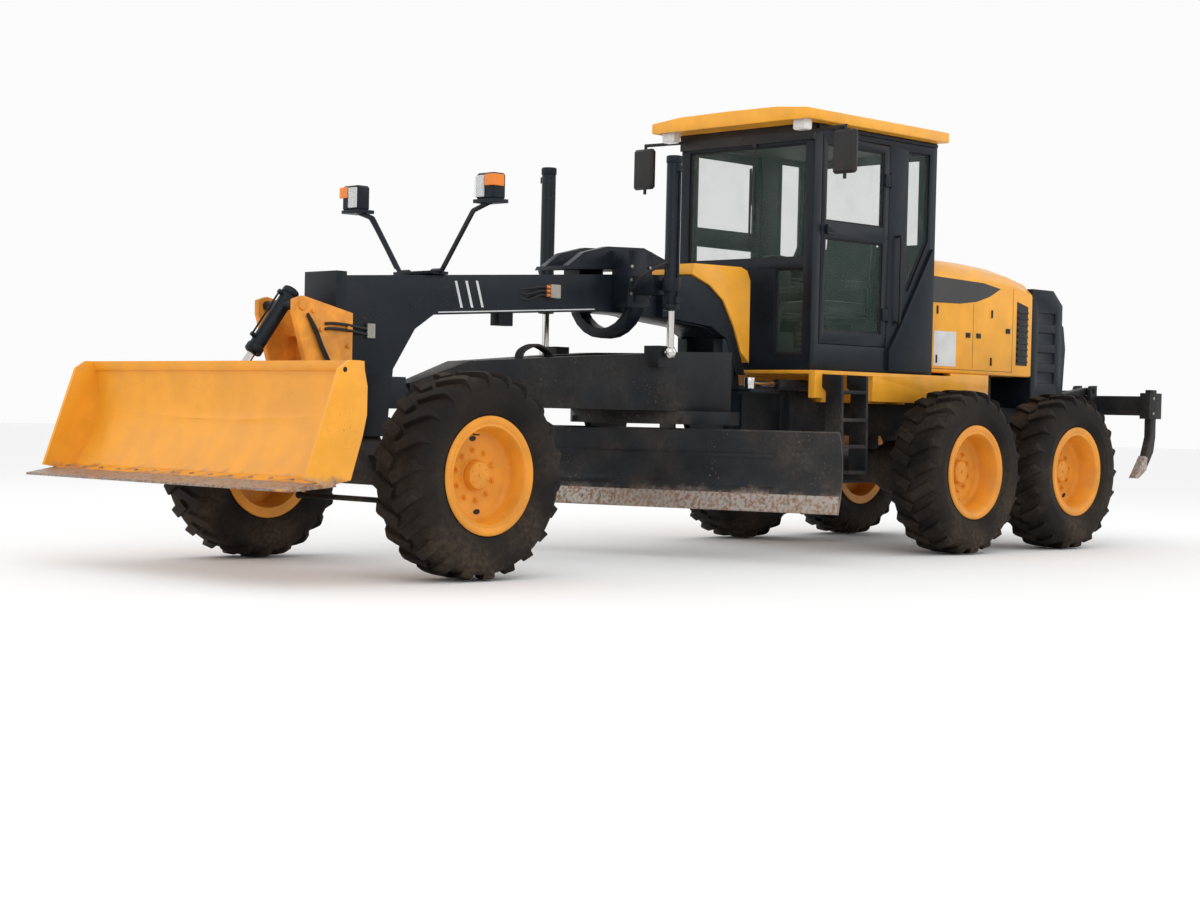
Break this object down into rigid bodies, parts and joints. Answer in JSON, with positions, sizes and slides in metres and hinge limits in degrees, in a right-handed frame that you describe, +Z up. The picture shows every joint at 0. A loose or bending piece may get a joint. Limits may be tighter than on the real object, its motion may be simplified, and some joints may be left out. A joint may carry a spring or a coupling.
{
  "type": "motor grader",
  "caption": "Articulated motor grader with a turning and side-shifting moldboard, front dozer blade, rear ripper, leaning front wheels and an enclosed cab.",
  "frame": {"origin": "on the ground under the middle of the machine's bounding box, wheels standing on Z = 0", "axes": "+X forward towards the dozer blade, +Y to the driver's left, +Z up"},
  "size_m": [10.52, 3.5147, 3.5403],
  "materials": {
    "yellow_paint": "gloss orange-yellow paint",
    "slate_paint": "satin dark slate paint",
    "bright_steel": "plated cylinder rod",
    "dark_iron": "matt casting",
    "cab_trim": "dark seat fabric and moulded trim",
    "tyre": "matt rubber"
  },
  "bodies": {
    "rear_body": {"rear_frame": "slate_paint", "tandem_drive": "slate_paint", "platform": "yellow_paint", "hood": "yellow_paint", "engine_block": "dark_iron", "radiator_guard": "slate_paint", "cab_shell": "slate_paint", "cab_roof": "yellow_paint", "visor_and_mirrors": "slate_paint", "operator_seat": "cab_trim", "steering_console": "cab_trim", "ladder_left": "slate_paint", "ladder_right": "slate_paint"},
    "front_body": {"front_frame": "slate_paint", "neck_housing": "yellow_paint", "lift_saddle": "slate_paint", "lamp_bracket": "slate_paint", "front_axle": "slate_paint", "dozer_bracket": "yellow_paint", "lift_barrel_left": "slate_paint", "lift_barrel_right": "slate_paint"},
    "wheel_mid_left": {"tyre_mid_left": "tyre", "rim_mid_left": "yellow_paint"},
    "wheel_rear_left": {"tyre_rear_left": "tyre", "rim_rear_left": "yellow_paint"},
    "door_left": {"cab_door_left": "slate_paint"},
    "wheel_mid_right": {"tyre_mid_right": "tyre", "rim_mid_right": "yellow_paint"},
    "wheel_rear_right": {"tyre_rear_right": "tyre", "rim_rear_right": "yellow_paint"},
    "door_right": {"cab_door_right": "slate_paint"},
    "articulation_barrel_left": {"articulation_barrel_left": "slate_paint"},
    "articulation_rod_left": {"articulation_rod_left": "bright_steel"},
    "articulation_barrel_right": {"articulation_barrel_right": "slate_paint"},
    "articulation_rod_right": {"articulation_rod_right": "bright_steel"},
    "lean_yoke_left": {"lean_yoke_left": "slate_paint"},
    "knuckle_left": {"knuckle_left": "slate_paint"},
    "wheel_front_left": {"tyre_front_left": "tyre", "rim_front_left": "yellow_paint"},
    "lean_yoke_right": {"lean_yoke_right": "slate_paint"},
    "knuckle_right": {"knuckle_right": "slate_paint"},
    "wheel_front_right": {"tyre_front_right": "tyre", "rim_front_right": "yellow_paint"},
    "tie_rod_stud": {"tie_rod_stud": "bright_steel"},
    "tie_rod": {"tie_rod": "slate_paint"},
    "drawbar": {"drawbar": "slate_paint"},
    "lift_rod_left": {"lift_rod_left": "bright_steel"},
    "lift_rod_right": {"lift_rod_right": "bright_steel"},
    "circle": {"circle": "slate_paint"},
    "blade_carrier": {"blade_carrier": "slate_paint"},
    "moldboard": {"moldboard": "slate_paint"},
    "dozer_blade": {"dozer_blade": "yellow_paint"},
    "dozer_barrel": {"dozer_barrel": "slate_paint"},
    "dozer_rod": {"dozer_rod": "bright_steel"},
    "ripper_arms": {"ripper_arms": "slate_paint"},
    "ripper_links": {"ripper_links": "slate_paint"},
    "ripper_toolbar": {"ripper_toolbar": "slate_paint"},
    "ripper_barrel": {"ripper_barrel": "slate_paint"},
    "ripper_rod": {"ripper_rod": "bright_steel"}
  },
  "joints": [
    {"name": "wheel_mid_left_spin", "type": "hinge", "parent": "rear_body", "child": "wheel_mid_left", "pos_m": [-1.86, 1.15, 0.675], "axis": [0, 1, 0], "continuous": true},
    {"name": "wheel_rear_left_spin", "type": "hinge", "parent": "rear_body", "child": "wheel_rear_left", "pos_m": [-3.4, 1.15, 0.675], "axis": [0, 1, 0], "continuous": true},
    {"name": "door_left_hinge", "type": "hinge", "parent": "rear_body", "child": "door_left", "pos_m": [-1.475, 0.7135, 1.68], "axis": [0, 0, 1], "range_deg": [0, 85]},
    {"name": "wheel_mid_right_spin", "type": "hinge", "parent": "rear_body", "child": "wheel_mid_right", "pos_m": [-1.86, -1.15, 0.675], "axis": [0, 1, 0], "continuous": true},
    {"name": "wheel_rear_right_spin", "type": "hinge", "parent": "rear_body", "child": "wheel_rear_right", "pos_m": [-3.4, -1.15, 0.675], "axis": [0, 1, 0], "continuous": true},
    {"name": "door_right_hinge", "type": "hinge", "parent": "rear_body", "child": "door_right", "pos_m": [-1.475, -0.7135, 1.68], "axis": [0, 0, -1], "range_deg": [0, 85]},
    {"name": "articulation", "type": "hinge", "parent": "rear_body", "child": "front_body", "pos_m": [-0.36, 0, 1.1], "axis": [0, 0, -1], "range_deg": [-25, 25]},
    {"name": "articulation_barrel_left_swing", "type": "hinge", "parent": "rear_body", "child": "articulation_barrel_left", "pos_m": [-0.81, 0.5, 1.35], "axis": [0, 0, -1], "range_deg": [-12, 12]},
    {"name": "articulation_rod_left_slide", "type": "slide", "parent": "articulation_barrel_left", "child": "articulation_rod_left", "axis": [1, 0, 0], "range_m": [-0.22, 0.22]},
    {"name": "articulation_barrel_right_swing", "type": "hinge", "parent": "rear_body", "child": "articulation_barrel_right", "pos_m": [-0.81, -0.5, 1.35], "axis": [0, 0, -1], "range_deg": [-12, 12]},
    {"name": "articulation_rod_right_slide", "type": "slide", "parent": "articulation_barrel_right", "child": "articulation_rod_right", "axis": [1, 0, 0], "range_m": [-0.22, 0.22]},
    {"name": "lean_left", "type": "hinge", "parent": "front_body", "child": "lean_yoke_left", "pos_m": [3.58, 0.82, 0.675], "axis": [1, 0, 0], "range_deg": [-17, 17]},
    {"name": "steer_left", "type": "hinge", "parent": "lean_yoke_left", "child": "knuckle_left", "pos_m": [3.58, 0.82, 0.675], "axis": [0, 0, -1], "range_deg": [-38, 38]},
    {"name": "wheel_front_left_spin", "type": "hinge", "parent": "knuckle_left", "child": "wheel_front_left", "pos_m": [3.58, 1.15, 0.675], "axis": [0, 1, 0], "continuous": true},
    {"name": "lean_right", "type": "hinge", "parent": "front_body", "child": "lean_yoke_right", "pos_m": [3.58, -0.82, 0.675], "axis": [1, 0, 0], "range_deg": [-17, 17]},
    {"name": "steer_right", "type": "hinge", "parent": "lean_yoke_right", "child": "knuckle_right", "pos_m": [3.58, -0.82, 0.675], "axis": [0, 0, -1], "range_deg": [-38, 38]},
    {"name": "wheel_front_right_spin", "type": "hinge", "parent": "knuckle_right", "child": "wheel_front_right", "pos_m": [3.58, -1.15, 0.675], "axis": [0, 1, 0], "continuous": true},
    {"name": "tie_rod_stud_swivel", "type": "hinge", "parent": "knuckle_left", "child": "tie_rod_stud", "pos_m": [3.41, 0.82, 0.46], "axis": [0, 0, -1], "range_deg": [-38, 38]},
    {"name": "tie_rod_level", "type": "hinge", "parent": "tie_rod_stud", "child": "tie_rod", "pos_m": [3.41, 0.82, 0.46], "axis": [1, 0, 0], "range_deg": [-17, 17]},
    {"name": "drawbar_lift", "type": "hinge", "parent": "front_body", "child": "drawbar", "pos_m": [3.19, 0, 1.2], "axis": [0, 1, 0], "range_deg": [-20, 2.5]},
    {"name": "lift_rod_left_slide", "type": "slide", "parent": "front_body", "child": "lift_rod_left", "axis": [0, 0, 1], "range_m": [-0.74, 0.1]},
    {"name": "lift_rod_right_slide", "type": "slide", "parent": "front_body", "child": "lift_rod_right", "axis": [0, 0, 1], "range_m": [-0.74, 0.1]},
    {"name": "circle_turn", "type": "hinge", "parent": "drawbar", "child": "circle", "pos_m": [0.56, 0, 1.12], "axis": [0, 0, 1], "range_deg": [-65, 28]},
    {"name": "blade_tip", "type": "hinge", "parent": "circle", "child": "blade_carrier", "pos_m": [0.75043, 0.06114, 0.62], "axis": [-0.3057, 0.9521, 0], "range_deg": [-5, 40]},
    {"name": "blade_side_shift", "type": "slide", "parent": "blade_carrier", "child": "moldboard", "axis": [0.3057, -0.9521, 0], "range_m": [-0.62, 0.38]},
    {"name": "dozer_lift", "type": "hinge", "parent": "front_body", "child": "dozer_blade", "pos_m": [3.98, 0, 0.98], "axis": [0, -1, 0], "range_deg": [-36, 4]},
    {"name": "dozer_barrel_swing", "type": "hinge", "parent": "front_body", "child": "dozer_barrel", "pos_m": [4.228, 0, 1.755], "axis": [0, -1, 0], "range_deg": [-16, 3]},
    {"name": "dozer_rod_slide", "type": "slide", "parent": "dozer_barrel", "child": "dozer_rod", "axis": [0.5995, 0, -0.8004], "range_m": [-0.06, 0.42]},
    {"name": "ripper_lower", "type": "hinge", "parent": "rear_body", "child": "ripper_arms", "pos_m": [-4.44, 0, 1.06], "axis": [0, -1, 0], "range_deg": [0, 55]},
    {"name": "ripper_link_swing", "type": "hinge", "parent": "rear_body", "child": "ripper_links", "pos_m": [-4.44, 0, 1.3], "axis": [0, -1, 0], "range_deg": [0, 56]},
    {"name": "ripper_toolbar_level", "type": "hinge", "parent": "ripper_arms", "child": "ripper_toolbar", "pos_m": [-5.02, 0, 1.16], "axis": [0, -1, 0], "range_deg": [-56, 0]},
    {"name": "ripper_barrel_swing", "type": "hinge", "parent": "rear_body", "child": "ripper_barrel", "pos_m": [-4.44, 0, 1.88], "axis": [0, -1, 0], "range_deg": [0, 20]},
    {"name": "ripper_rod_slide", "type": "slide", "parent": "ripper_barrel", "child": "ripper_rod", "axis": [-0.4286, 0, -0.9035], "range_m": [0, 0.35]}
  ],
  "couplings": [
    {"joint": "articulation_barrel_left_swing", "follows": "articulation", "ratio": 0.4536},
    {"joint": "articulation_rod_left_slide", "follows": "articulation", "m_per_rad": 0.496},
    {"joint": "articulation_barrel_right_swing", "follows": "articulation", "ratio": 0.4536},
    {"joint": "articulation_rod_right_slide", "follows": "articulation", "m_per_rad": -0.496},
    {"joint": "lean_right", "follows": "lean_left", "ratio": 1},
    {"joint": "steer_right", "follows": "steer_left", "ratio": 1},
    {"joint": "tie_rod_stud_swivel", "follows": "steer_left", "ratio": -1},
    {"joint": "tie_rod_level", "follows": "lean_left", "ratio": -1},
    {"joint": "lift_rod_left_slide", "follows": "drawbar_lift", "m_per_rad": 2.075},
    {"joint": "lift_rod_right_slide", "follows": "drawbar_lift", "m_per_rad": 2.075},
    {"joint": "dozer_barrel_swing", "follows": "dozer_lift", "ratio": 0.32354},
    {"joint": "dozer_rod_slide", "follows": "dozer_lift", "m_per_rad": -0.61829},
    {"joint": "ripper_link_swing", "follows": "ripper_lower", "ratio": 1},
    {"joint": "ripper_toolbar_level", "follows": "ripper_lower", "ratio": -1},
    {"joint": "ripper_barrel_swing", "follows": "ripper_lower", "ratio": 0.21783},
    {"joint": "ripper_rod_slide", "follows": "ripper_lower", "m_per_rad": 0.28151}
  ]
}
